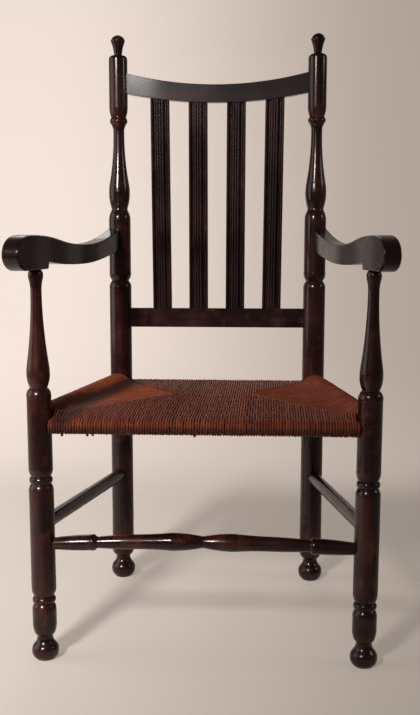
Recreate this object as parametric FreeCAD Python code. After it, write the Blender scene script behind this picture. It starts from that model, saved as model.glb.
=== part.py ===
"""Armchair with a turned frame, a back of four reeded banisters and a woven rush seat.

Sizes are in millimetres. The chair faces -Y with +Z up, and its origin is the bottom centre
of its bounding box. It is drawn with the rear feet on Y = 0 and moved to its origin at the end.
"""

import FreeCAD
import Part

import math
import os

Vector = FreeCAD.Vector

# How closely joined pieces fit: the gap all round a tenon, a peg or a shoulder.
fit = 0.15

# Where the four posts stand at the floor, and how they lean (degrees).
rear_spread = 397.0
front_spread = 545.0
post_depth = 431.5
back_rake = 1.13
rear_splay = 0.2
front_lean = 0.66
front_splay = 0.53

# Rear posts: heights up the post and diameters, from the ball foot to the finial.
rear_sole_d = 32.0
rear_ball_level = 18.0
rear_ball_d = 49.6
rear_ankle_level = 43.0
rear_ankle_d = 28.8
rear_leg_level = 58.0
rear_leg_d = 45.0
rear_waist_level = 629.5
rear_waist_d = 34.0
rear_waist_half_length = 18.5
arm_block_d = 44.2
rear_collar_level = 777.0
rear_collar_d = 32.5
rear_collar_cove = 23.0
rear_vase_level = 810.5
rear_vase_d = 42.8
rear_throat_level = 925.5
rear_throat_d = 22.2
rear_throat_length = 8.0
rear_bead_level = 953.0
rear_bead_d = 36.0
rear_head_groove_level = 962.0
rear_head_groove_d = 30.5
rear_head_level = 979.5
rear_head_d = 37.5
rear_head_top_level = 1078.0
finial_neck_level = 1088.0
finial_neck_d = 16.0
finial_neck_length = 3.0
finial_cup_level = 1114.5
finial_cup_d = 28.5
finial_lip = 3.5
rear_post_height = 1125.5

# Both kinds of foot: the cove above the ankle, and how much narrower the leg starts there.
ankle_cove = 6.0
block_chamfer = 7.0

# Front posts: the same, from the ball foot to the arm support.
front_sole_d = 31.0
front_ball_level = 15.0
front_ball_d = 46.6
front_ankle_level = 39.5
front_ankle_d = 27.0
front_block_level = 61.0
front_block_d = 41.3
foot_ring_level = 105.0
foot_ring_d = 40.0
front_leg_d = 42.2
middle_ring_level = 313.5
middle_ring_d = 39.8
ring_groove_d = 33.6
ring_width = 12.5
ring_cove_below = 14.0
ring_cove_above = 17.0
front_head_d = 41.2
front_head_top_level = 453.5
support_groove_level = 471.0
support_groove_d = 29.0
support_vase_level = 497.5
support_vase_d = 39.1
support_throat_level = 633.5
support_throat_d = 18.6
support_bead_drop = 8.5
support_bead_d = 25.3
support_top_d = 19.0

# Arms: sawn boards that run from the rear posts over the front posts to a round hand. The
# rear and front offsets are how far the board's middle lies outside the posts' axes. The other
# offsets are from the rear post's axis, and ahead or behind means of the front post's axis.
arm_width = 29.0
arm_rear_offset = 7.0
arm_front_offset = 2.0
arm_tenon_level = 710.5
arm_rear_depth = 43.0
arm_rear_rise = 8.0
arm_dip_offset = 225.0
arm_low_offset = 240.0
arm_low_level = 671.5
arm_depth = 36.0
arm_underside_level = 668.0
arm_hand_height = 57.5
arm_crown_ahead = 40.0
arm_hand_reach = 98.0
arm_nose_height = 25.5
arm_chin_length = 40.0
arm_heel_behind = 28.0
arm_heel_height = 12.0
arm_heel_slant = 3.0
arm_edge_radius = 3.0
arm_nose_share = 0.62

# Crest rail and lower back rail.
back_rail_thickness = 15.0
crest_top_level = 1048.5
crest_end_height = 40.5
crest_top_dip = 23.0
crest_under_dip = 18.5
lower_rail_level = 533.5
lower_rail_height = 39.0

# Banisters: their places along the two rails, and the section of their reeded faces.
banister_width = 38.5
banister_thickness = 10.0
banister_top_pitch = 78.5
banister_foot_pitch = 75.0
edge_bead_width = 5.0
hollow_width = 6.5
hollow_depth = 2.6
reed_count = 3
reed_depth = 1.8

# Stretchers.
front_stretcher_level = 201.5
front_stretcher_bow = 8.0
stretcher_end_d = 15.5
stretcher_ring_offset = 183.0
stretcher_ring_width = 9.0
stretcher_ring_d = 27.6
stretcher_neck_d = 19.5
stretcher_swell_offset = 53.0
stretcher_swell_d = 30.5
stretcher_groove_d = 20.0
side_stretcher_front_level = 235.5
side_stretcher_rear_level = 222.5
side_stretcher_d = 25.0

# Seat rails. The side rails lie above the other two, so that their tenons pass in the posts.
front_rail_level = 406.5
rear_rail_level = 409.0
side_rail_level = 424.5
rail_half_width = 13.0
rail_half_height = 9.6
rail_nose_radius = 7.5

# Rush: the cord's thickness, the weave's seams and how far the pockets swell. Each diagonal
# seam starts inside the post, drops from the rolls round the rails to its shoulder and runs on
# to the middle seam.
cord = 4.5
seam_half_length = 70.0
seam_setback = 225.0
seam_middle_level = 420.5
seam_end_level = 429.5
seam_thickness = 16.0
shoulder_distance = 58.0
shoulder_top_level = 425.5
shoulder_thickness = 26.0
pocket_crown = 5.0
pocket_full_width = 120.0
side_hollow = 17.0
hollow_start = 32.0
cross_hollow = 2.0
roll_run = 16.0
hollow_run = 18.0
weave_start = 18.0
cavity_start = 14.0
stuffing_gap = 0.5

# Tenons and pegs.
rail_tenon_d = 14.0
stretcher_tenon_d = 13.0
tenon_depth = 23.0
back_tenon_thickness = 9.0
back_tenon_shoulder = 4.0
back_tenon_depth = 20.0
banister_tenon_width = 24.0
banister_tenon_thickness = 5.0
banister_tenon_depth = 10.0
arm_tenon_d = 16.0
arm_tenon_depth = 27.0
support_tenon_d = 15.0
support_tenon_depth = 30.0
peg_d = 6.0

below_floor = 3.0

# Height of the room between the seat rails that the stuffing is cut from.
room_depth = 120.0

# How far the poles of a quarter round stand from its ends, as a share of its radius.
round_share = 0.5523


def bezier(*poles):
    """One smooth edge drawn from its poles."""
    curve = Part.BezierCurve()
    curve.setPoles(list(poles))
    return curve.toShape()


def rod(start, end, diameter):
    """A round bar between two points."""
    return Part.makeCylinder(diameter / 2, (end - start).Length, start, end - start)


class Turning:
    """Half section of a turned piece, drawn along its axis as (diameter, station)."""

    def __init__(self, diameter, station):
        self.here = Vector(diameter / 2, 0, station)
        self.edges = []

    def add(self, edge, end):
        self.edges.append(edge)
        self.here = end

    def line(self, diameter, station):
        """A cylinder, a cone or a flat shoulder."""
        end = Vector(diameter / 2, 0, station)
        self.add(Part.LineSegment(self.here, end).toShape(), end)

    def arc(self, diameter, station, bulge):
        """A round stretch whose middle stands out by the bulge from its chord."""
        end = Vector(diameter / 2, 0, station)
        chord = end - self.here
        outward = Vector(chord.z, 0, -chord.x).normalize()
        middle = (self.here + end) * 0.5 + outward * bulge
        self.add(Part.Arc(self.here, middle, end).toShape(), end)

    def ogee(self, diameter, station, share=0.5):
        """A double curve of two arcs that runs along the axis at both of its ends.

        The arcs meet on the chord, at a share of its length.
        """
        chord = Vector(diameter / 2, 0, station) - self.here
        bend = math.tan(math.atan(chord.x / chord.z) / 2) * chord.Length / 2
        side = math.copysign(1, chord.z)
        turn = self.here + chord * share
        self.arc(2 * turn.x, turn.z, -side * bend * share)
        self.arc(diameter, station, side * bend * (1 - share))

    def dome(self, station):
        """A round end, closed on the axis and level there."""
        rise = station - self.here.z
        run = self.here.x
        self.arc(0, station, math.hypot(rise, run) / 2 * math.tan(math.atan(rise / run) / 2))

    def solid(self):
        """The piece, turned about Z."""
        foot = self.edges[0].Vertexes[0].Point
        start = Vector(0, 0, foot.z)
        outline = [Part.LineSegment(start, foot).toShape()] + self.edges
        outline.append(Part.LineSegment(self.here, start).toShape())
        face = Part.Face(Part.Wire(outline))
        return face.revolve(Vector(0, 0, 0), Vector(0, 0, 1), 360)


class Post:
    """One leaning post: where its axis runs, and the mortises to be cut in it."""

    def __init__(self, foot, lean):
        self.foot = foot
        self.lean = lean.normalize()
        self.mortises = []

    def at(self, level):
        """The point of the axis at a height above the floor."""
        return self.foot + self.lean * (level / self.lean.z)

    def sleeve(self, level, diameter, gap):
        """A bar along the post at a height, wider than the post by a gap all round."""
        half = self.lean * 80.0
        centre = self.at(level)
        return rod(centre - half, centre + half, diameter + 2 * gap)

    def place(self, turning):
        """The turned post on its axis, cut flat at the floor and mortised."""
        solid = turning.solid()
        turn = FreeCAD.Rotation(Vector(0, 0, 1), self.lean)
        solid.Placement = FreeCAD.Placement(self.foot, turn)
        span = 400.0
        ground = Part.makeBox(span, span, span, self.foot - Vector(span / 2, span / 2, span))
        return solid.cut([ground] + self.mortises)


def degrees_slope(angle):
    return math.tan(math.radians(angle))


rake_turn = FreeCAD.Rotation(Vector(1, 0, 0), -back_rake)
sides = {"left": -1, "right": 1}
rear_posts = {}
front_posts = {}
for name, side in sides.items():
    splayed = Vector(side * degrees_slope(rear_splay), 0, 1)
    rear_posts[name] = Post(Vector(side * rear_spread / 2, 0, 0), rake_turn.multVec(splayed))
    leaning = Vector(side * degrees_slope(front_splay), degrees_slope(front_lean), 1)
    front_posts[name] = Post(Vector(side * front_spread / 2, -post_depth, 0), leaning)


def raked(shape):
    """A piece of the back, leant back with the rear posts."""
    return shape.transformed(FreeCAD.Placement(Vector(), rake_turn).toMatrix())


def rear_turning():
    """Outline of a rear post."""
    turning = Turning(rear_sole_d, -below_floor)
    turning.line(rear_sole_d, 0)
    turning.arc(rear_ball_d, rear_ball_level, 2.4)
    turning.ogee(rear_ankle_d, rear_ankle_level, 0.5)
    turning.arc(rear_leg_d - block_chamfer, rear_ankle_level + ankle_cove, -0.8)
    turning.arc(rear_leg_d, rear_leg_level, 0.7)
    turning.line(rear_leg_d, rear_waist_level - rear_waist_half_length)
    turning.arc(rear_waist_d, rear_waist_level, 2.2)
    turning.arc(arm_block_d, rear_waist_level + rear_waist_half_length, 2.2)
    turning.line(arm_block_d, rear_collar_level - rear_collar_cove)
    turning.ogee(rear_collar_d, rear_collar_level, 0.75)
    turning.arc(rear_vase_d, rear_vase_level, 1.4)
    turning.ogee(rear_throat_d, rear_throat_level, 0.135)
    turning.line(rear_throat_d, rear_throat_level + rear_throat_length)
    turning.ogee(rear_bead_d, rear_bead_level, 0.85)
    turning.ogee(rear_head_groove_d, rear_head_groove_level, 0.75)
    turning.arc(rear_head_d, rear_head_level, 0.8)
    turning.line(rear_head_d, rear_head_top_level)
    turning.arc(finial_neck_d + 2, finial_neck_level - finial_neck_length, 2.6)
    turning.arc(finial_neck_d, finial_neck_level, -0.4)
    turning.arc(finial_cup_d - 1.5, finial_cup_level - finial_lip, -0.8)
    turning.arc(finial_cup_d, finial_cup_level, 0.4)
    turning.dome(rear_post_height)
    return turning


def ring(turning, level, ring_d, leg_below, leg_above):
    """A bead between two grooves that parts the plain stretches of a front post."""
    half = ring_width / 2
    turning.line(leg_below, level - half - ring_cove_below)
    turning.arc(ring_groove_d, level - half, 1.4)
    turning.arc(ring_groove_d, level + half, (ring_d - ring_groove_d) / 2)
    turning.arc(leg_above, level + half + ring_cove_above, 1.4)


def front_turning():
    """Outline of a front post and its arm support, with the tenon that the arm sits on."""
    shoulder = arm_underside_level - fit
    bead_level = shoulder - support_bead_drop
    turning = Turning(front_sole_d, -below_floor)
    turning.line(front_sole_d, 0)
    turning.arc(front_ball_d, front_ball_level, 2.2)
    turning.ogee(front_ankle_d, front_ankle_level, 0.5)
    turning.arc(front_block_d - block_chamfer, front_ankle_level + ankle_cove, -0.8)
    turning.arc(front_block_d, front_block_level, 0.7)
    ring(turning, foot_ring_level, foot_ring_d, front_block_d, front_leg_d)
    ring(turning, middle_ring_level, middle_ring_d, front_leg_d, front_head_d)
    turning.line(front_head_d, front_head_top_level)
    turning.arc(support_groove_d, support_groove_level, 2.6)
    turning.arc(support_vase_d, support_vase_level, 1.7)
    turning.ogee(support_throat_d, support_throat_level, 0.08)
    turning.ogee(support_bead_d, bead_level, 0.75)
    turning.arc(support_top_d, shoulder, 0.9)
    turning.line(support_tenon_d, shoulder)
    turning.line(support_tenon_d, shoulder + support_tenon_depth)
    turning.line(0, shoulder + support_tenon_depth)
    return turning


def mortise(post, centre, inward, post_d, diameter, depth):
    """Bore a round mortise into a post, for a tenon that comes in from one side."""
    mouth = centre + inward * (post_d / 2 + 5)
    bottom = centre + inward * (post_d / 2 - depth - fit)
    post.mortises.append(rod(bottom, mouth, diameter + 2 * fit))


def joined_bar(body, ends, tenon_d, depth):
    """A bar between two posts: shoulders coped to the posts and a round tenon at each end.

    Each end is (post, level, post diameter), and the tenons lie on one line.
    """
    (post_a, level_a, d_a), (post_b, level_b, d_b) = ends
    a = post_a.at(level_a)
    b = post_b.at(level_b)
    along = (b - a).normalize()
    coped = body.cut([post_a.sleeve(level_a, d_a, fit), post_b.sleeve(level_b, d_b, fit)])
    tip_a = a + along * (d_a / 2 - depth)
    tip_b = b - along * (d_b / 2 - depth)
    mortise(post_a, a, along, d_a, tenon_d, depth)
    mortise(post_b, b, -along, d_b, tenon_d, depth)
    return coped, tip_a, tip_b


def oval_bar(start, end, half_width, half_height, nose):
    """A straight bar, flat way down, whose oval section has four arcs.

    The nose is the radius of the two arcs at its sides.
    """
    inset = half_width - nose
    flat = (inset**2 + half_height**2 - nose**2) / (2 * (half_height - nose))
    join = Vector(inset, flat - half_height, 0) * (nose / (flat - nose)) + Vector(inset, 0, 0)
    edges = []
    for side in (1, -1):
        low = Vector(side * join.x, -side * join.y, 0)
        high = Vector(side * join.x, side * join.y, 0)
        far = Vector(-side * join.x, side * join.y, 0)
        edges.append(Part.Arc(low, Vector(side * half_width, 0, 0), high).toShape())
        edges.append(Part.Arc(high, Vector(0, side * half_height, 0), far).toShape())
    face = Part.Face(Part.Wire(edges))
    along = (end - start).normalize()
    across = along.cross(Vector(0, 0, 1)).normalize()
    turn = FreeCAD.Rotation(across, across.cross(along), along, "XYZ")
    face.Placement = FreeCAD.Placement(start, turn)
    return face.extrude(end - start)


def seat_rail(ends):
    """An oval seat rail with its two tenons."""
    (post_a, level_a, d_a), (post_b, level_b, d_b) = ends
    start = post_a.at(level_a)
    body = oval_bar(start, post_b.at(level_b), rail_half_width, rail_half_height, rail_nose_radius)
    coped, tip_a, tip_b = joined_bar(body, ends, rail_tenon_d, tenon_depth)
    return coped.fuse(rod(tip_a, tip_b, rail_tenon_d))


def side_stretcher(name):
    """A plain round stretcher between a rear and a front post."""
    ends = (
        (rear_posts[name], side_stretcher_rear_level, rear_leg_d),
        (front_posts[name], side_stretcher_front_level, front_leg_d),
    )
    start = ends[0][0].at(ends[0][1])
    end = ends[1][0].at(ends[1][1])
    body = rod(start, end, side_stretcher_d)
    coped, tip_a, tip_b = joined_bar(body, ends, stretcher_tenon_d, tenon_depth)
    return coped.fuse(rod(tip_a, tip_b, stretcher_tenon_d))


def bowed(turning, half_length, bow):
    """A turned piece that lies along X and bows upwards between its ends."""
    pieces = []
    for edge in turning.edges:
        rings = []
        straight = edge.Curve.TypeId == "Part::GeomLine"
        for point in edge.discretize(2 if straight else 7):
            share = point.z / half_length
            centre = Vector(point.z, 0, bow * (1 - share * share))
            slope = Vector(1, 0, -2 * bow * share / half_length)
            rings.append(Part.Wire(Part.makeCircle(point.x, centre, slope)))
        pieces.append(Part.makeLoft(rings, True, False))
    return pieces[0].fuse(pieces[1:])


def front_stretcher():
    """The turned front stretcher, which bows upwards in the middle."""
    left = front_posts["left"]
    right = front_posts["right"]
    level = front_stretcher_level
    half = right.at(level).x
    ring_start = stretcher_ring_offset
    ring_end = stretcher_ring_offset + stretcher_ring_width
    turning = Turning(stretcher_end_d, half)
    turning.arc(stretcher_ring_d - 1, ring_end, -1.5)
    turning.arc(stretcher_ring_d - 2, ring_start, -0.9)
    turning.arc(stretcher_neck_d, ring_start - 4, 0.6)
    turning.ogee(stretcher_swell_d, stretcher_swell_offset, 0.5)
    turning.arc(stretcher_groove_d, 1.5, -1.3)
    turning.line(stretcher_groove_d, 0)
    half_piece = bowed(turning, half, front_stretcher_bow)
    body = half_piece.fuse(half_piece.mirror(Vector(0, 0, 0), Vector(1, 0, 0)))
    body.translate(Vector(0, left.at(level).y, level))
    ends = ((left, level, front_leg_d), (right, level, front_leg_d))
    coped, tip_a, tip_b = joined_bar(body, ends, stretcher_tenon_d, tenon_depth)
    root_a = left.at(level) + Vector(front_leg_d / 2 + 4, 0, 0)
    root_b = right.at(level) - Vector(front_leg_d / 2 + 4, 0, 0)
    return coped.fuse([rod(tip_a, root_a, stretcher_tenon_d), rod(tip_b, root_b, stretcher_tenon_d)])


def arm(name):
    """One arm: a sawn board from its rear tenon to the round hand, and its two pegs."""
    rear_post = rear_posts[name]
    front_post = front_posts[name]
    outward = Vector(sides[name], 0, 0)
    rear = rear_post.at(arm_tenon_level) + outward * arm_rear_offset
    front = front_post.at(arm_underside_level) + outward * arm_front_offset
    run = Vector(front.x - rear.x, front.y - rear.y, 0)
    reach = run.Length
    along = run.normalize()
    across = Vector(0, 0, 1).cross(along) * -sides[name]

    def at(distance, level):
        return Vector(rear.x, rear.y, level) + along * distance

    base = arm_underside_level
    rear_top = arm_tenon_level + arm_rear_depth / 2 + arm_rear_rise
    rear_under = rear_top - arm_rear_depth
    crown = base + arm_hand_height
    crown_at = reach + arm_crown_ahead
    dip = arm_low_level + arm_depth
    nose_at = reach + arm_hand_reach
    nose = base + arm_nose_height
    chin_at = nose_at - arm_chin_length
    heel_at = reach - arm_heel_behind
    heel = base + arm_heel_height
    heel_top_at = heel_at - arm_heel_slant
    outline = [
        bezier(
            at(0, rear_top),
            at(arm_dip_offset * 0.3, rear_top - (rear_top - dip) * 0.58),
            at(arm_dip_offset * 0.6, dip),
            at(arm_dip_offset, dip),
        ),
        bezier(
            at(arm_dip_offset, dip),
            at((arm_dip_offset + crown_at) / 2, dip),
            at((arm_dip_offset + crown_at) / 2, crown),
            at(crown_at, crown),
        ),
        bezier(
            at(crown_at, crown),
            at(crown_at + (nose_at - crown_at) * arm_nose_share, crown),
            at(nose_at, nose + (crown - nose) * arm_nose_share),
            at(nose_at, nose),
        ),
        bezier(
            at(nose_at, nose),
            at(nose_at, nose - arm_nose_height * round_share),
            at(chin_at + arm_chin_length * round_share, base),
            at(chin_at, base),
        ),
        Part.LineSegment(at(chin_at, base), at(heel_at, base)).toShape(),
        Part.LineSegment(at(heel_at, base), at(heel_top_at, heel)).toShape(),
        bezier(
            at(heel_top_at, heel),
            at(heel_at - (heel_at - arm_low_offset) * 0.35, heel - (heel - arm_low_level) * 0.6),
            at(heel_at - (heel_at - arm_low_offset) * 0.5, arm_low_level),
            at(arm_low_offset, arm_low_level),
        ),
        bezier(
            at(arm_low_offset, arm_low_level),
            at(arm_low_offset * 0.66, arm_low_level),
            at(arm_low_offset * 0.3, rear_under - (rear_under - arm_low_level) * 0.46),
            at(0, rear_under),
        ),
        Part.LineSegment(at(0, rear_under), at(0, rear_top)).toShape(),
    ]
    face = Part.Face(Part.Wire(outline))
    face.translate(across * (-arm_width / 2))
    board = face.extrude(across * arm_width)
    board = board.makeFillet(arm_edge_radius, long_edges(board, across, outline[:4]))

    seat = at(0, arm_tenon_level)
    tip = seat + along * (arm_block_d / 2 - arm_tenon_depth)
    root = seat + along * (arm_block_d / 2 + 6)
    mortise(rear_post, seat, along, arm_block_d, arm_tenon_d, arm_tenon_depth)
    board = board.cut(rear_post.sleeve(arm_tenon_level, arm_block_d, fit))
    board = board.fuse(rod(tip, root, arm_tenon_d))
    socket_top = base + support_tenon_depth + fit
    board = board.cut(rod(front_post.at(base - 5), front_post.at(socket_top), support_tenon_d + 2 * fit))

    pegs = []
    block = rear_post.at(arm_tenon_level)
    rear_peg = (block - across * (arm_block_d / 2 - 1), block + across * (arm_block_d / 2 - 6))
    support = front_post.at(base + support_tenon_depth / 2)
    outer_face = arm_width / 2 + arm_front_offset
    inner_face = arm_width / 2 - arm_front_offset
    front_peg = (support - across * (outer_face - 0.5), support + across * (inner_face - 5))
    for post, (start, end) in ((rear_post, rear_peg), (front_post, front_peg)):
        pegs.append(rod(start, end, peg_d))
        hole = rod(start - across * 4, end + across * fit, peg_d + 2 * fit)
        post.mortises.append(hole)
        board = board.cut(hole)
    return board, pegs


def long_edges(board, across, curves):
    """The edges of a sawn board that run along the given curves on its two faces."""
    found = []
    for edge in board.Edges:
        middle = edge.CenterOfMass
        for curve in curves:
            away = middle - curve.CenterOfMass
            if abs(away.Length - arm_width / 2) < 0.01 and abs(abs(away.dot(across)) - away.Length) < 0.01:
                found.append(edge)
    return found


def back_half(level):
    """Half the distance between the rear post axes at a height, in the plane of the back."""
    return rear_spread / 2 + level * degrees_slope(rear_splay)


def sagging(level, half, dip, reach):
    """An arc that passes through a level at plus and minus half, dips in the middle
    and is drawn out to plus and minus reach."""
    radius = (half * half + dip * dip) / (2 * dip)
    centre = level - dip + radius
    end = centre - math.sqrt(radius * radius - reach * reach)
    start = Vector(-reach, 0, end)
    return start, Vector(0, 0, level - dip), Vector(reach, 0, end)


def slab(outline, thickness):
    """A board cut to an outline in the plane of the back."""
    face = Part.Face(Part.Wire(outline))
    face.translate(Vector(0, -thickness / 2, 0))
    return face.extrude(Vector(0, thickness, 0))


def back_tenons(level, height, post_d, gap):
    """The two end tenons of a back rail, or with a gap the mortises that take them."""
    half = back_half(level)
    thickness = back_tenon_thickness + 2 * gap
    low = level - height / 2 + back_tenon_shoulder - gap
    tall = height - 2 * back_tenon_shoulder + 2 * gap
    inner = half - post_d / 2 - 3
    outer = half - post_d / 2 + back_tenon_depth + gap
    tenons = []
    for side in sides.values():
        start = inner if side > 0 else -outer
        corner = Vector(start, -thickness / 2, low)
        tenons.append(Part.makeBox(outer - inner, thickness, tall, corner))
    return tenons


def back_rail(board, level, height, post_d):
    """A rail of the back: coped to the posts, with a tenon at each end and a peg in each."""
    half = back_half(level)
    pegs = []
    for side in sides.values():
        low = Vector(side * back_half(level - height), 0, level - height)
        high = Vector(side * back_half(level + height), 0, level + height)
        board = board.cut(rod(low, high, post_d + 2 * fit))
    board = board.fuse(back_tenons(level, height, post_d, 0))
    for name, mortise_box in zip(sides, back_tenons(level, height, post_d, fit)):
        side = sides[name]
        offset = post_d / 2 - back_tenon_depth / 2
        depth = math.sqrt((post_d / 2) ** 2 - offset ** 2) - 1
        start = Vector(side * (half - offset), depth, level)
        end = Vector(side * (half - offset), -depth + 5, level)
        pegs.append(raked(rod(start, end, peg_d)))
        hole = rod(start + Vector(0, 5, 0), end - Vector(0, fit, 0), peg_d + 2 * fit)
        board = board.cut(hole)
        rear_posts[name].mortises += [raked(mortise_box), raked(hole)]
    return board, pegs


def crest_outline():
    """Outline of the crest rail, whose two edges both sag towards the middle."""
    reach = back_half(crest_top_level)
    inner = reach - rear_head_d / 2
    top = sagging(crest_top_level, inner, crest_top_dip, reach)
    under = sagging(crest_top_level - crest_end_height, inner, crest_under_dip, reach)
    return [
        Part.Arc(*top).toShape(),
        Part.LineSegment(top[2], under[2]).toShape(),
        Part.Arc(*under).toShape(),
        Part.LineSegment(under[0], top[0]).toShape(),
    ]


def above_crest_edge():
    """All that lies above the underside of the crest rail, less the gap to the banisters."""
    reach = back_half(crest_top_level)
    inner = reach - rear_head_d / 2
    under = sagging(crest_top_level - crest_end_height - fit, inner, crest_under_dip, reach)
    up = Vector(0, 0, 120)
    outline = [
        Part.Arc(*under).toShape(),
        Part.LineSegment(under[2], under[2] + up).toShape(),
        Part.LineSegment(under[2] + up, under[0] + up).toShape(),
        Part.LineSegment(under[0] + up, under[0]).toShape(),
    ]
    return slab(outline, 4 * back_rail_thickness)


def banister_section():
    """The section of a banister: flat behind, with beads, hollows and reeds in front."""
    half = banister_width / 2
    front = -banister_thickness / 2
    quirk = front + reed_depth
    reed_width = (banister_width - 2 * edge_bead_width - 2 * hollow_width) / reed_count
    widths = [edge_bead_width, hollow_width] + [reed_width] * reed_count
    widths += [hollow_width, edge_bead_width]
    heights = [front, quirk + hollow_depth] + [front] * reed_count
    heights += [quirk + hollow_depth, front]
    left = -half
    outline = [Part.LineSegment(Vector(left, -front, 0), Vector(left, quirk, 0)).toShape()]
    for width, crest in zip(widths, heights):
        start = Vector(left, quirk, 0)
        middle = Vector(left + width / 2, crest, 0)
        left += width
        outline.append(Part.Arc(start, middle, Vector(left, quirk, 0)).toShape())
    outline.append(Part.LineSegment(Vector(half, quirk, 0), Vector(half, -front, 0)).toShape())
    outline.append(Part.LineSegment(Vector(half, -front, 0), Vector(-half, -front, 0)).toShape())
    return Part.Face(Part.Wire(outline))


def banister_tenons(place, gap):
    """The two tenons of a banister, or with a gap the mortises that take them."""
    foot_level = lower_rail_level + lower_rail_height
    foot_x = place * banister_foot_pitch
    top_x = place * banister_top_pitch
    inner = back_half(crest_top_level) - rear_head_d / 2
    under = crest_top_level - crest_end_height
    radius = (inner * inner + crest_under_dip ** 2) / (2 * crest_under_dip)
    top_level = under - crest_under_dip + radius - math.sqrt(radius * radius - top_x * top_x)
    width = banister_tenon_width + 2 * gap
    thickness = banister_tenon_thickness + 2 * gap
    depth = banister_tenon_depth + gap
    root = 4
    foot_corner = Vector(foot_x - width / 2, -thickness / 2, foot_level - depth)
    top_corner = Vector(top_x - width / 2, -thickness / 2, top_level - root)
    return [
        Part.makeBox(width, thickness, depth + root, foot_corner),
        Part.makeBox(width, thickness, depth + root, top_corner),
    ]


def banister(place):
    """One banister, between the lower back rail and the sagging underside of the crest."""
    foot_level = lower_rail_level + lower_rail_height
    rise = crest_top_level - foot_level
    lean = (banister_top_pitch - banister_foot_pitch) * place
    body = banister_section().extrude(Vector(0, 0, rise + banister_thickness))
    foot = Vector(place * banister_foot_pitch, 0, foot_level)
    axis = Vector(lean, 0, rise)
    turn = FreeCAD.Rotation(Vector(0, 0, 1), axis)
    body.Placement = FreeCAD.Placement(foot - axis * (banister_thickness / rise), turn)
    rail_top = Part.makeBox(banister_width * 2, banister_width, banister_width)
    rail_top.translate(foot + Vector(-banister_width, -banister_width / 2, fit - banister_width))
    return body.cut([above_crest_edge(), rail_top]).fuse(banister_tenons(place, 0))


def weave_points():
    """In plan, the four corners of the seat and the two ends of its middle seam."""
    level = (front_rail_level + side_rail_level) / 2
    corners = {}
    for name in sides:
        corners["front", name] = front_posts[name].at(level)
        corners["rear", name] = rear_posts[name].at(level)
    seam_y = corners["front", "left"].y + seam_setback
    seams = {name: Vector(side * seam_half_length, seam_y, 0) for name, side in sides.items()}
    for corner in corners.values():
        corner.z = 0
    return corners, seams


def weave_stations(corner, seam, start, low_level):
    """Points of one diagonal seam, as plan point, top level and underside level: inside the
    post, at the shoulder and at the end of the middle seam."""
    diagonal = seam - corner
    outward = diagonal.normalize()
    roll = rail_half_height + fit + cord
    shoulder = corner + outward * shoulder_distance
    return [
        (corner + outward * start, side_rail_level + roll, low_level - roll),
        (shoulder, shoulder_top_level, shoulder_top_level - shoulder_thickness),
        (seam, seam_end_level, seam_end_level - seam_thickness),
    ]


def weave_sectors(start):
    """The four sectors of the weave, each as (start of its rail, direction, level, stations)."""
    corners, seams = weave_points()
    cross_levels = {"front": front_rail_level, "rear": rear_rail_level}
    order = (("front", "left"), ("front", "right"), ("rear", "right"), ("rear", "left"))
    sectors = []
    for index, first in enumerate(order):
        second = order[(index + 1) % 4]
        crossing = first[0] == second[0]
        level = cross_levels[first[0]] if crossing else side_rail_level
        post_a = (front_posts if first[0] == "front" else rear_posts)[first[1]]
        post_b = (front_posts if second[0] == "front" else rear_posts)[second[1]]
        rail_start = post_a.at(level)
        along = post_b.at(level) - rail_start
        rail_start.z = 0
        along.z = 0
        ends = []
        for end in (first, second):
            ends.append(weave_stations(corners[end], seams[end[1]], start, cross_levels[end[0]]))
        stations, onward = ends[0], ends[1][::-1]
        if crossing:
            middle = (stations[-1][0] + onward[0][0]) * 0.5
            stations.append((middle, seam_middle_level, seam_middle_level - seam_thickness))
            stations += onward
        else:
            stations += onward[1:]
        sectors.append((rail_start, along.normalize(), level, stations))
    return sectors


class WeaveSection:
    """A cut across one sector of the weave, square to its rail, drawn in by an inset."""

    def __init__(self, sector, station, inset):
        rail_start, along, level, _ = sector
        point, top, under = station
        self.foot = rail_start + along * (point - rail_start).dot(along)
        self.inward = point - self.foot
        self.width = self.inward.Length
        self.inward.normalize()
        self.level = level
        self.half_width = rail_half_width + fit + cord - inset
        self.half_height = rail_half_height + fit + cord - inset
        self.top = top - inset
        self.under = under + inset
        fullness = min(1.0, max(0.0, self.width - hollow_start) / pocket_full_width)
        self.swell = pocket_crown * fullness
        self.hollow = (side_hollow if level == side_rail_level else cross_hollow) * fullness

    def at(self, inwards, level):
        """A point of the section, by its distance inwards from the rail's axis."""
        return self.foot + self.inward * inwards + Vector(0, 0, level)

    def upper_face(self):
        """The cord's way from the roll down into the hollow behind it and on to the seam."""
        crown = self.level + self.half_height
        reach = self.width / 2
        if self.level == side_rail_level:
            reach = min(hollow_run, self.width * 0.55)
        return bezier(
            self.at(0, crown),
            self.at(min(roll_run, self.width * 0.45), crown),
            self.at(reach, self.top - self.hollow),
            self.at(self.width, self.top),
        )

    def lower_face(self):
        """The cord's way below, which swells under the stuffing."""
        sole = self.level - self.half_height
        return bezier(
            self.at(0, sole),
            self.at(self.width / 3, sole - self.swell),
            self.at(self.width * 2 / 3, self.under - self.swell),
            self.at(self.width, self.under),
        )

    def loop(self):
        """The cord's way from the seam round the rail and back, and the line that closes it."""
        quarters = []
        for rise in (-self.half_height, self.half_height):
            quarters.append(bezier(
                self.at(0, self.level + rise),
                self.at(-self.half_width * round_share, self.level + rise),
                self.at(-self.half_width, self.level + rise * round_share),
                self.at(-self.half_width, self.level),
            ))
        edges = [self.lower_face()] + quarters + [self.upper_face()]
        closing = Part.LineSegment(self.at(self.width, self.under), self.at(self.width, self.top))
        return edges, closing.toShape()


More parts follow.
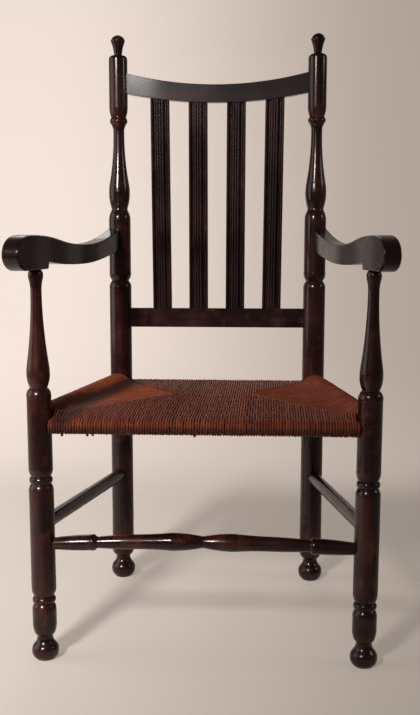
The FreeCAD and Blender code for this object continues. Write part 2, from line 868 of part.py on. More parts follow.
def weave(inset, start):
    """The closed form of the woven seat, drawn in by an inset.

    Four sectors, one round each rail, meet on the diagonals and on the middle seam.
    """
    faces = []
    for sector in weave_sectors(start):
        loops = [WeaveSection(sector, station, inset).loop() for station in sector[3]]
        wires = [Part.Wire(edges) for edges, _ in loops]
        faces += Part.makeLoft(wires, False, True).Faces
        for edges, closing in (loops[0], loops[-1]):
            faces.append(Part.Face(Part.Wire(edges + [closing])))
    shell = Part.Shell(faces)
    shell.sewShape()
    return Part.Solid(shell)


def stuffing():
    """The pad of broken rush between the upper and lower cords, inside the four seat rails."""
    corners = []
    for rail_start, along, _, _ in weave_sectors(weave_start):
        inward = Vector(-along.y, along.x, 0)
        corners.append((rail_start + inward * (rail_half_width + 2 * fit), along))
    outline = []
    for (point, along), (before, course) in zip(corners, corners[-1:] + corners[:-1]):
        gap = point - before
        share = (gap.x * along.y - gap.y * along.x) / (course.x * along.y - course.y * along.x)
        outline.append(before + course * share + Vector(0, 0, front_rail_level - room_depth / 2))
    face = Part.Face(Part.makePolygon(outline + outline[:1]))
    room = face.extrude(Vector(0, 0, room_depth))
    return room.common(weave(cord + stuffing_gap, cavity_start)).cut(post_sleeves(fit))


def post_sleeves(gap):
    """Bars round the four posts at the seat, wider than the posts by a gap."""
    bars = []
    for name in sides:
        bars.append(rear_posts[name].sleeve(side_rail_level, rear_leg_d, gap))
        bars.append(front_posts[name].sleeve(side_rail_level, front_head_d, gap))
    return bars


def rail_ends():
    """For each seat rail, its two ends as (post, level, post diameter)."""
    ends = {
        "front_seat_rail": [(front_posts[name], front_rail_level, front_head_d) for name in sides],
        "rear_seat_rail": [(rear_posts[name], rear_rail_level, rear_leg_d) for name in sides],
    }
    for name in sides:
        ends[name + "_seat_rail"] = [
            (rear_posts[name], side_rail_level, rear_leg_d),
            (front_posts[name], side_rail_level, front_head_d),
        ]
    return ends


def build():
    """All the pieces by name, as they stand before the origin is set."""
    pieces = {}
    arm_pegs = []
    for name in sides:
        pieces["arm_" + name], pegs = arm(name)
        arm_pegs += pegs
        pieces["side_stretcher_" + name] = side_stretcher(name)
    pieces["arm_pegs"] = Part.makeCompound(arm_pegs)
    pieces["front_stretcher"] = front_stretcher()

    crest_middle = crest_top_level - crest_end_height / 2
    crest = slab(crest_outline(), back_rail_thickness)
    crest, crest_pegs = back_rail(crest, crest_middle, crest_end_height, rear_head_d)
    lower_middle = lower_rail_level + lower_rail_height / 2
    reach = back_half(lower_middle)
    low = Vector(-reach, -back_rail_thickness / 2, lower_rail_level)
    lower = Part.makeBox(2 * reach, back_rail_thickness, lower_rail_height, low)
    lower, lower_pegs = back_rail(lower, lower_middle, lower_rail_height, rear_leg_d)
    places = {"outer_left": -1.5, "inner_left": -0.5, "inner_right": 0.5, "outer_right": 1.5}
    for name, place in places.items():
        pieces["banister_" + name] = raked(banister(place))
        foot_mortise, top_mortise = banister_tenons(place, fit)
        crest = crest.cut(top_mortise)
        lower = lower.cut(foot_mortise)
    pieces["crest_rail"] = raked(crest)
    pieces["lower_back_rail"] = raked(lower)
    pieces["back_rail_pegs"] = Part.makeCompound(crest_pegs + lower_pegs)

    for name, ends in rail_ends().items():
        pieces[name] = seat_rail(ends)
    rush = weave(0, weave_start).cut(weave(cord, cavity_start))
    pieces["rush_seat"] = rush.cut(post_sleeves(fit))
    pieces["seat_stuffing"] = stuffing()

    for name in sides:
        pieces["rear_post_" + name] = rear_posts[name].place(rear_turning())
        pieces["front_post_" + name] = front_posts[name].place(front_turning())
    return pieces


def main():
    pieces = build()
    whole = Part.makeCompound(list(pieces.values()))
    box = whole.optimalBoundingBox(False, False)
    origin = Vector(0, (box.YMin + box.YMax) / 2, 0)
    os.makedirs("parts", exist_ok=True)
    for name, shape in pieces.items():
        shape.translate(-origin)
        shape.exportStep("parts/" + name + ".step")
        solids = shape.Solids
        volume = sum(solid.Volume for solid in solids) / 1000
        print(f"{name}: {len(solids)} solids, {volume:.1f} cm3, valid {shape.isValid()}")
    print(f"origin moved by {-origin.y:.3f}, size {box.XLength:.1f} {box.YLength:.1f} {box.ZLength:.1f}")


main()
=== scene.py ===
"""Dressed model of an old armchair: a turned and varnished frame, four reeded banisters and a
woven rush seat.

Sizes are in metres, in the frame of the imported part: the chair faces -Y, Z is up and the origin
is the middle of the footprint, on the floor.
"""

import logging
import math
from dataclasses import dataclass, field
from enum import Enum
from typing import Optional, Sequence, Union

import bpy
import numpy as np
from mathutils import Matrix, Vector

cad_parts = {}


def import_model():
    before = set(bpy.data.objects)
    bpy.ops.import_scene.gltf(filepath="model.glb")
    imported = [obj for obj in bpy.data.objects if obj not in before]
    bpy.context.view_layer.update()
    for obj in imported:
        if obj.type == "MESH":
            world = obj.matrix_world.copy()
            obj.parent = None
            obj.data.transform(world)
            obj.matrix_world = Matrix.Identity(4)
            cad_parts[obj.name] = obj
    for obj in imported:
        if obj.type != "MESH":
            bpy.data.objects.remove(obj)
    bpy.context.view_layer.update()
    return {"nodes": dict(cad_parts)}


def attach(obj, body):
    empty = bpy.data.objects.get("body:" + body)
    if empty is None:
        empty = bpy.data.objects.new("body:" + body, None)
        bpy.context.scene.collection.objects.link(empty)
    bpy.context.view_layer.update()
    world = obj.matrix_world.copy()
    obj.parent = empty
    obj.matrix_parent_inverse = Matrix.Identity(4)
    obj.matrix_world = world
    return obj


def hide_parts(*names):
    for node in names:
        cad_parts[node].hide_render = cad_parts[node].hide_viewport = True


log = logging.getLogger("armchair")

Colour = tuple[float, float, float]
Point = tuple[float, float, float]
Span = tuple[float, float]
Link = bpy.types.NodeSocket
Sockets = Union[bpy.types.NodeInputs, bpy.types.NodeOutputs]
Socket = Union[Link, float, Sequence[float]]
Inputs = dict[Union[str, int], Socket]
Node = bpy.types.Node
Material = bpy.types.Material
Array = np.ndarray
Random = np.random.Generator

MM = 0.001
FULL_TURN = 2 * math.pi


# Node trees


class Bench:
    """Places nodes in a node tree and wires them to each other."""

    # The colour sockets of a Mix node, which has others for numbers and vectors.
    mix_share, mix_first, mix_second, mix_result = 0, 6, 7, 2

    def __init__(self, tree: bpy.types.NodeTree) -> None:
        """Keep the tree to work on."""
        self.tree = tree

    def add(self, kind: str, inputs: Optional[Inputs] = None, **settings: object) -> Node:
        """Place a node.

        Args:
            kind: the node's type, without its ShaderNode prefix.
            inputs: a value or another node's socket for each input, by its name or number.
            settings: the node's own properties.
        """
        node = self.tree.nodes.new("ShaderNode" + kind)
        for name, value in settings.items():
            setattr(node, name, value)
        self.feed(node, inputs or {})
        return node

    def feed(self, node: Node, inputs: Inputs) -> None:
        """Link or set several inputs of a node, by their names or numbers."""
        for name, value in inputs.items():
            self.plug(node.inputs[name], value)

    def plug(self, socket: Link, value: Socket) -> None:
        """Link a socket to another one, or set its own value."""
        if isinstance(value, Link):
            self.tree.links.new(value, socket)
        elif isinstance(value, (tuple, list)) and socket.type == "RGBA" and len(value) == 3:
            socket.default_value = (*value, 1.0)
        else:
            socket.default_value = value

    def math(self, operation: str, a: Socket, b: Socket = 0.0) -> Link:
        """Return the result of a Math node."""
        return self.add("Math", {0: a, 1: b}, operation=operation).outputs[0]

    def weigh(self, *terms: tuple[float, Link]) -> Link:
        """Return the sum of the terms, each of which is a weight and a value."""
        total: Optional[Link] = None
        for weight, value in terms:
            term = self.math("MULTIPLY", value, weight)
            total = term if total is None else self.math("ADD", total, term)
        return total

    def spread(
        self, value: Socket, low: float, high: float, to_low: float = 0.0, to_high: float = 1.0
    ) -> Link:
        """Map a value from one range to another, smoothly and clamped at both ends."""
        sockets = {"Value": value, "From Min": low, "From Max": high}
        sockets |= {"To Min": to_low, "To Max": to_high}
        return self.add("MapRange", sockets, interpolation_type="SMOOTHSTEP").outputs["Result"]

    def blend(self, share: Socket, a: Socket, b: Socket) -> Link:
        """Return a mix of two colours."""
        inputs = {self.mix_share: share, self.mix_first: a, self.mix_second: b}
        return self.add("Mix", inputs, data_type="RGBA").outputs[self.mix_result]

    def stretched(self, vector: Socket, scale: Sequence[float]) -> Link:
        """Return a vector scaled along its three axes."""
        return self.add("Mapping", {"Vector": vector, "Scale": tuple(scale)}).outputs["Vector"]

    def noise(
        self, vector: Socket, scale: float, detail: float = 3.0, roughness: float = 0.5
    ) -> Link:
        """Return the value of a noise pattern."""
        sockets = {"Vector": vector, "Scale": scale, "Detail": detail, "Roughness": roughness}
        return self.add("TexNoise", sockets).outputs[0]

    def bump(
        self, height: Socket, depth: float, strength: float, normal: Optional[Socket] = None
    ) -> Link:
        """Return the normal of a surface with a relief.

        Args:
            height, depth, strength: the relief from 0 to 1, its depth and how much of it shows.
            normal: the normal that it starts from, if it isn't the surface's own.
        """
        sockets = {"Height": height, "Distance": depth, "Strength": strength}
        if normal is not None:
            sockets["Normal"] = normal
        return self.add("Bump", sockets).outputs[0]


class SharedEffect:
    """A node group of masks, which several finishes place with their own values."""

    name = ""
    inputs: tuple[tuple[str, str, object], ...] = ()

    def group(self) -> bpy.types.NodeTree:
        """Return the group, which is built when it is first asked for."""
        found = bpy.data.node_groups.get(self.name)
        if found:
            return found
        tree = bpy.data.node_groups.new(self.name, "ShaderNodeTree")
        for name, kind, value in self.inputs:
            socket = tree.interface.new_socket(name, in_out="INPUT", socket_type=kind)
            if value is not None:
                socket.default_value = value
        bench = Bench(tree)
        masks = self.wire(bench, tree.nodes.new("NodeGroupInput").outputs)
        for name in masks:
            tree.interface.new_socket(name, in_out="OUTPUT", socket_type="NodeSocketFloat")
        bench.feed(tree.nodes.new("NodeGroupOutput"), masks)
        return tree

    def wire(self, bench: Bench, given: Sockets) -> dict[str, Link]:
        """Fill the group with its nodes, from what is given, and return each mask by its name."""
        raise NotImplementedError

    def place(self, bench: Bench, **values: Socket) -> Sockets:
        """Place the group in a material and return its outputs.

        Args:
            bench, values: places the nodes, and what goes into each input, by its name.
        """
        node = bench.add("Group", node_tree=self.group())
        bench.feed(node, {name.title(): value for name, value in values.items()})
        return node.outputs


class Grain(SharedEffect):
    """Wood grain as long streaks: broad bands of growth and fine open pores."""

    name = "wood_grain"
    inputs = (
        ("Vector", "NodeSocketVector", None),
        ("Stretch", "NodeSocketVector", (1.0, 1.0, 1.0)),
    )
    bands_per_metre = 46.0
    pores_per_metre = 420.0
    blotches_per_metre = 11.0

    def wire(self, bench: Bench, given: Sockets) -> dict[str, Link]:
        """Bands and pores are noise drawn out along the grain, blotches are not drawn out."""
        pair = {0: given["Vector"], 1: given["Stretch"]}
        drawn = bench.add("VectorMath", pair, operation="MULTIPLY").outputs[0]
        band = bench.noise(drawn, self.bands_per_metre, detail=4.0, roughness=0.6)
        pore = bench.noise(drawn, self.pores_per_metre, detail=2.0, roughness=0.6)
        blotch = bench.noise(given["Vector"], self.blotches_per_metre, detail=4.0, roughness=0.55)
        return {
            "Band": bench.spread(band, 0.32, 0.68),
            "Pore": bench.spread(pore, 0.56, 0.70),
            "Blotch": bench.spread(blotch, 0.30, 0.70),
        }


class Wear(SharedEffect):
    """Where hands and shoes have rubbed: patches, fine scratches and a dusty film."""

    name = "old_wear"
    inputs = (("Vector", "NodeSocketVector", None), ("Amount", "NodeSocketFloat", 0.5))
    patches_per_metre = 26.0
    lift = 0.45
    scratch_stretch = (90.0, 90.0, 16.0)
    scratch_scale = 1.6
    scratch_width = 0.012
    dust_per_metre = 240.0

    def wire(self, bench: Bench, given: Sockets) -> dict[str, Link]:
        """Patches grow from a coarse noise as the amount rises; scratches are the thin lines
        where a drawn-out noise crosses its middle."""
        patch = bench.noise(given["Vector"], self.patches_per_metre, detail=5.0, roughness=0.65)
        lifted = bench.math("ADD", patch, bench.math("MULTIPLY", given["Amount"], self.lift))
        drawn = bench.stretched(given["Vector"], self.scratch_stretch)
        ridge = bench.noise(drawn, self.scratch_scale, detail=2.0, roughness=0.7)
        thin = bench.math("ABSOLUTE", bench.math("SUBTRACT", ridge, 0.5))
        dust = bench.noise(given["Vector"], self.dust_per_metre, detail=3.0, roughness=0.7)
        return {
            "Rubbed": bench.spread(lifted, 0.72, 0.98),
            "Scratch": bench.spread(thin, 0.0, self.scratch_width, 1.0, 0.0),
            "Dust": bench.spread(dust, 0.42, 0.75),
        }


# Finishes


class GrainAxis(Enum):
    """The way the grain runs in a piece, as how much each axis is drawn out."""

    UPRIGHT = (1.0, 1.0, 0.055)
    ACROSS = (0.055, 1.0, 1.0)
    DEEP = (1.0, 0.055, 1.0)


class Finish:
    """A material; each kind of finish says what goes into its Principled node."""

    name: str

    def make(self) -> Material:
        """Build the material."""
        material = bpy.data.materials.new(self.name)
        material.use_nodes = True
        material.node_tree.nodes.clear()
        bench = Bench(material.node_tree)
        shader = bench.add("BsdfPrincipled")
        bench.add("OutputMaterial", {"Surface": shader.outputs[0]})
        bench.feed(shader, self.paint(bench, bench.add("TexCoord").outputs["Object"]))
        return material

    def paint(self, bench: Bench, place: Link) -> Inputs:
        """Return the Principled node's inputs; the place is the Object coordinates."""
        raise NotImplementedError


@dataclass(frozen=True)
class VarnishedWood(Finish):
    """Old hardwood, stained almost black and varnished, that shows red-brown where it is rubbed.

    Fields:
        dark, warm, bare, pore: the stain in the grain's dark and light bands, where it has rubbed
            off and in the open pores.
        wear, gloss: how much is rubbed, and how rough the wood is elsewhere.
        softness, relief: how far an edge is worn round, and how much the grain stands out.
        coat, coat_ior: how much varnish there is, and its refractive index.
        fall: how far a board's face leans, and from where to where sideways.
    """

    name: str
    axis: GrainAxis
    dark: Colour = (0.0075, 0.0028, 0.0026)
    warm: Colour = (0.066, 0.0115, 0.0095)
    bare: Colour = (0.15, 0.034, 0.017)
    pore: Colour = (0.004, 0.002, 0.002)
    wear: float = 0.45
    gloss: float = 0.20
    softness: float = 1.2 * MM
    relief: float = 0.13
    coat: float = 0.36
    coat_ior: float = 1.5
    fall: Optional[Point] = None

    warm_share = (0.16, 0.62)
    bare_share = 0.4
    pore_share = 0.5
    gloss_range = 0.12
    rubbed_roughness = 0.14
    scratch_roughness = 0.10
    relief_depth = 0.35 * MM
    mirrored = 0.16
    coat_roughness = 0.10

    def paint(self, bench: Bench, place: Link) -> Inputs:
        """Grain under a stain, rubbed and scratched, with the varnish over it."""
        grain = Grain().place(bench, vector=place, stretch=self.axis.value)
        wear = Wear().place(bench, vector=place, amount=self.wear)
        rough = bench.spread(grain["Blotch"], 0.0, 1.0, self.gloss, self.gloss + self.gloss_range)
        rough = bench.weigh(
            (1.0, rough),
            (self.rubbed_roughness, wear["Rubbed"]),
            (self.scratch_roughness, wear["Scratch"]),
        )
        rounded = bench.add("Bevel", {"Radius": self.softness}, samples=4).outputs[0]
        if self.fall:
            depth, start, end = self.fall
            aside = bench.math("ABSOLUTE", bench.add("SeparateXYZ", {0: place}).outputs[0])
            rounded = bench.bump(bench.spread(aside, start, end, 1.0, 0.0), depth, 1.0, rounded)
        relief = bench.weigh(
            (0.35, grain["Band"]),
            (0.6, grain["Blotch"]),
            (-0.5, grain["Pore"]),
            (-0.25, wear["Scratch"]),
        )
        return {
            "Base Color": self.stain(bench, grain, wear),
            "Roughness": rough,
            "Normal": bench.bump(relief, self.relief_depth, self.relief, rounded),
            "Specular IOR Level": self.mirrored,
            "Coat Weight": self.coat,
            "Coat Roughness": self.coat_roughness,
            "Coat IOR": self.coat_ior,
        }

    def stain(self, bench: Bench, grain: Sockets, wear: Sockets) -> Link:
        """Mix the colour: dark and warm in the grain, bare where it is rubbed, and the pores."""
        tone = bench.spread(grain["Blotch"], 0.0, 1.0, *self.warm_share)
        colour = bench.blend(bench.math("MULTIPLY", grain["Band"], tone), self.dark, self.warm)
        rubbed = bench.math("MULTIPLY", wear["Rubbed"], self.bare_share)
        colour = bench.blend(rubbed, colour, self.bare)
        open_pore = bench.math("MULTIPLY", grain["Pore"], self.pore_share)
        return bench.blend(open_pore, colour, self.pore)


@dataclass(frozen=True)
class BareWood(Finish):
    """Riven or whittled wood without varnish, for the seat rails, with grime settled on it."""

    name: str
    axis: GrainAxis
    pale: Colour = (0.17, 0.085, 0.045)
    deep: Colour = (0.075, 0.032, 0.017)
    grime: Colour = (0.06, 0.035, 0.025)

    wear = 0.3
    grime_share = 0.4
    relief_depth = 0.5 * MM

    def paint(self, bench: Bench, place: Link) -> Inputs:
        """Bands of pale and deep wood, with the grime between them."""
        grain = Grain().place(bench, vector=place, stretch=self.axis.value)
        wear = Wear().place(bench, vector=place, amount=self.wear)
        colour = bench.blend(grain["Band"], self.pale, self.deep)
        settled = bench.math("MULTIPLY", wear["Dust"], self.grime_share)
        height = bench.math("SUBTRACT", grain["Band"], grain["Pore"])
        return {
            "Base Color": bench.blend(settled, colour, self.grime),
            "Roughness": bench.spread(grain["Blotch"], 0.0, 1.0, 0.55, 0.8),
            "Normal": bench.bump(height, self.relief_depth, 0.5),
        }


@dataclass(frozen=True)
class TwistedRush(Finish):
    """Rush cord, painted red-brown long ago, with fibres that follow the twist.

    Fields:
        shade_level, unshaded_level: the heights over which the painted shade below the roll fades.
        rail_slant: how far the side rail moves outwards for each metre towards the front.
        streak_outside, streak_inside: where the painted shadow along the left rail fades in and
        out, measured sideways once the slant is taken off.
    """

    name: str
    red: Colour = (0.150, 0.025, 0.012)
    orange: Colour = (0.255, 0.058, 0.021)
    grey: Colour = (0.060, 0.018, 0.012)
    dust: Colour = (0.15, 0.055, 0.038)
    # painted shade: the colour put below the roll and inside the left rail, where shade and shadow
    # fall
    shade_colour: Colour = (0.038, 0.013, 0.009)
    shade_level: float = 402.0 * MM
    unshaded_level: float = 420.0 * MM
    rail_slant: float = 0.166
    streak_outside: Span = (-226.0 * MM, -214.0 * MM)
    streak_inside: Span = (-200.0 * MM, -176.0 * MM)
    gloss: float = 0.46

    fibre_stretch = (7.0, 60.0, 1.0)
    patches_per_metre = 38.0
    flecks_per_metre = 120.0
    wear = 0.5
    grey_share = 0.6
    dust_share = 0.3
    # how dark the painted shade below the roll and the painted shadow along the left rail are
    roll_shade = 0.72
    streak_shade = 0.9
    relief_depth = 0.35 * MM
    mirrored = 0.14

    def paint(self, bench: Bench, place: Link) -> Inputs:
        """Patches of red and orange, then bleached fibres, dust, and painted shade below the roll
        and along the left rail.
        """
        lay = bench.add("UVMap", uv_map="lay").outputs[0]
        tone = bench.add("Attribute", attribute_name="tone").outputs["Fac"]
        fibre = bench.noise(bench.stretched(lay, self.fibre_stretch), 1.0, roughness=0.6)
        patch = bench.noise(place, self.patches_per_metre, detail=4.0, roughness=0.65)
        wear = Wear().place(bench, vector=place, amount=self.wear)
        fleck = bench.noise(place, self.flecks_per_metre, roughness=0.7)
        mixed = bench.weigh((0.45, tone), (0.55, patch), (0.45, fleck))
        colour = bench.blend(bench.spread(mixed, 0.50, 0.95), self.red, self.orange)
        bleached = bench.spread(fibre, 0.35, 0.75, 0.0, self.grey_share)
        colour = bench.blend(bleached, colour, self.grey)
        dusty = bench.math("MULTIPLY", wear["Dust"], self.dust_share)
        colour = bench.blend(dusty, colour, self.dust)
        return {
            # painted shade and shadow laid over the rush's own colour
            "Base Color": bench.blend(self.painted_shade_mask(bench, place), colour, self.shade_colour),
            "Roughness": bench.spread(fibre, 0.3, 0.7, self.gloss - 0.06, self.gloss + 0.14),
            "Normal": bench.bump(fibre, self.relief_depth, 0.6),
            "Specular IOR Level": self.mirrored,
        }

    def painted_shade_mask(self, bench: Bench, place: Link) -> Link:
        """Find where shade is painted on the rush: below the roll, and a painted shadow in a
        streak on the left.
        """
        x, y, z = bench.add("SeparateXYZ", {0: place}).outputs
        below = bench.spread(z, self.shade_level, self.unshaded_level, self.roll_shade, 0.0)
        aside = bench.weigh((1.0, x), (-self.rail_slant, y))
        entering = bench.spread(aside, *self.streak_outside, 0.0, self.streak_shade)
        leaving = bench.spread(aside, *self.streak_inside, 1.0, 0.0)
        return bench.math("MAXIMUM", below, bench.math("MULTIPLY", entering, leaving))


@dataclass(frozen=True)
class PackedRush(Finish):
    """Broken rush, packed loosely: a dull dark mat of short fibres."""

    name: str
    dark: Colour = (0.030, 0.010, 0.006)
    light: Colour = (0.075, 0.028, 0.014)
    stretch: Point = (1.0, 3.0, 3.0)
    fibres_per_metre: float = 160.0
    relief_depth: float = 1.0 * MM

    def paint(self, bench: Bench, place: Link) -> Inputs:
        """Dark and light fibres, from one noise."""
        drawn = bench.stretched(place, self.stretch)
        mat = bench.noise(drawn, self.fibres_per_metre, detail=4.0, roughness=0.7)
        return {
            "Base Color": bench.blend(bench.spread(mat, 0.35, 0.7), self.dark, self.light),
            "Roughness": bench.spread(mat, 0.3, 0.7, 0.7, 0.95),
            "Normal": bench.bump(mat, self.relief_depth, 0.8),
        }


@dataclass(frozen=True)
class PaleSurface(Finish):
    """The plain paper floor and wall, in one sweep.

    Near the object it takes light and shadow, softened by a share of painted glow. Further off the
    camera sees more and more of a painted glow in place of the light's falloff, which is stronger
    on the left and dies away to the right and upwards.

    Fields:
        left, right, upper: the painted glow on each side and high up.
        sideways, upwards: where one goes over into the other, in X and in Z.
        backwards, around: where it grows, behind the object and round its middle.
        upper_share, near_share, mirrored_share: how much of the painted glow shows high up, under
        the object and as a painted reflection in the varnish.
    """

    name: str
    paper: Colour = (0.86, 0.78, 0.72)
    left: Colour = (0.93, 0.79, 0.71)
    right: Colour = (0.45, 0.375, 0.325)
    upper: Colour = (0.3, 0.25, 0.22)
    sideways: Span = (-1.3, 1.0)
    upwards: Span = (0.6, 3.2)
    upper_share: float = 0.16
    backwards: Span = (0.35, 1.5)
    around: Span = (1.2, 2.6)
    near_share: float = 0.4
    mirrored_share: float = 0.35

    clouds_per_metre = 1.3
    cloud_tint = 0.95

    def paint(self, bench: Bench, place: Link) -> Inputs:
        """Dull paper, a little cloudy."""
        cloud = bench.noise(place, self.clouds_per_metre)
        tint = tuple(channel * self.cloud_tint for channel in self.paper)
        rough = bench.spread(cloud, 0.3, 0.7, 0.75, 0.85)
        return {"Base Color": bench.blend(cloud, self.paper, tint), "Roughness": rough}

    def make(self) -> Material:
        """Build the paper, and mix the painted glow over it."""
        material = super().make()
        nodes = material.node_tree.nodes
        bench = Bench(material.node_tree)
        place = nodes["Texture Coordinate"].outputs["Object"]
        x, y, z = bench.add("SeparateXYZ", {0: place}).outputs
        # painted light: a glow, bright on the left and dimmer to the right and high up, as the
        # light falls off
        glow = bench.blend(bench.spread(x, *self.sideways), self.left, self.right)
        glow = bench.blend(bench.spread(z, *self.upwards, 0.0, self.upper_share), glow, self.upper)
        light = bench.add("Emission", {"Color": glow, "Strength": 1.0})
        behind = bench.spread(y, *self.backwards)
        away = bench.add("VectorMath", {0: place}, operation="LENGTH").outputs["Value"]
        share = bench.spread(away, *self.around, self.near_share, 1.0)
        share = bench.math("MAXIMUM", share, behind)
        ray = bench.add("LightPath").outputs
        mirrored = bench.math("MAXIMUM", ray["Is Glossy Ray"], ray["Is Transmission Ray"])
        mirrored = bench.math("MULTIPLY", mirrored, behind)
        mirrored = bench.math("MULTIPLY", mirrored, self.mirrored_share)
        looked_at = bench.math("MULTIPLY", ray["Is Camera Ray"], share)
        shown = bench.math("MAXIMUM", looked_at, mirrored)
        lit = nodes["Principled BSDF"].outputs[0]
        mixed = bench.add("MixShader", {0: shown, 1: lit, 2: light.outputs[0]})
        bench.feed(nodes["Material Output"], {"Surface": mixed.outputs[0]})
        return material


# Meshes


@dataclass
class Surface:
    """Arrays of one mesh.

    Fields:
        corners, quads: x, y and z of each corner, and four corner numbers for each face.
        tone, lay: how light each corner is; round the twist and along the cord for each of a face.
    """

    corners: Array
    quads: Array
    tone: Optional[Array] = None
    lay: Optional[Array] = None

    def to_object(self, name: str, material: Material) -> bpy.types.Object:
        """Make the object, which lies at the origin with its place in its mesh."""
        mesh = bpy.data.meshes.new(name)
        count = len(self.quads)
        mesh.vertices.add(len(self.corners))
        mesh.vertices.foreach_set("co", self.corners.astype(np.float32).ravel())
        mesh.loops.add(count * 4)
        mesh.loops.foreach_set("vertex_index", self.quads.astype(np.int32).ravel())
        mesh.polygons.add(count)
        mesh.polygons.foreach_set("loop_start", np.arange(0, count * 4, 4, dtype=np.int32))
        mesh.polygons.foreach_set("loop_total", np.full(count, 4, dtype=np.int32))
        mesh.polygons.foreach_set("use_smooth", np.ones(count, dtype=bool))
        mesh.update(calc_edges=True)
        if self.tone is not None:
            layer = mesh.attributes.new("tone", "FLOAT", "POINT")
            layer.data.foreach_set("value", self.tone.astype(np.float32))
        if self.lay is not None:
            layer = mesh.uv_layers.new(name="lay")
            layer.data.foreach_set("uv", self.lay.astype(np.float32).ravel())
        mesh.validate()
        mesh.materials.append(material)
        piece = bpy.data.objects.new(name, mesh)
        bpy.context.scene.collection.objects.link(piece)
        return piece


def merge(parts: Sequence[Surface]) -> Surface:
    """Join surfaces that have a tone and a lay, their quads shifted past earlier corners."""
    shift = np.cumsum([0] + [len(part.corners) for part in parts[:-1]])
    quads = np.concatenate([part.quads + step for part, step in zip(parts, shift)])
    corners = np.concatenate([part.corners for part in parts])
    tone = np.concatenate([part.tone for part in parts])
    lay = np.concatenate([part.lay for part in parts])
    return Surface(corners, quads, tone, lay)


def strip_quads(rows: int, sides: int) -> Array:
    """The quads between closed rings that follow each other along a path.

    Args:
        rows, sides: the number of rings and of corners in each, numbered ring by ring.
    """
    index = np.arange(rows * sides).reshape(rows, sides)
    beside = np.roll(index, -1, axis=1)
    ring_pairs = [index[:-1], beside[:-1], beside[1:], index[1:]]
    return np.stack(ring_pairs, axis=-1).reshape(-1, 4)


def cubic(poles: Sequence[Sequence[float]], share: Array) -> Array:
    """Points of a cubic curve at each share t, from 0 to 1.

    Its four poles are weighed by (1-t)^3, 3t(1-t)^2, 3t^2(1-t) and t^3.
    """
    t = share[:, None]
    first, second, third, last = (np.asarray(pole, float)[None, :] for pole in poles)
    back = 1 - t
    return back**3 * first + 3 * t * back**2 * second + 3 * t**2 * back * third + t**3 * last


def along_path(points: Array) -> Array:
    """Length of a path up to each of its points: the running sum of the steps between them."""
    steps = np.linalg.norm(np.diff(points, axis=0), axis=1)
    return np.concatenate([[0.0], np.cumsum(steps)])


def resampled(path: Array, wanted: Array) -> Array:
    """Points of a path at the wanted lengths, on the straight lines between its own points."""
    length = along_path(path)
    return np.stack([np.interp(wanted, length, path[:, axis]) for axis in range(3)], axis=1)


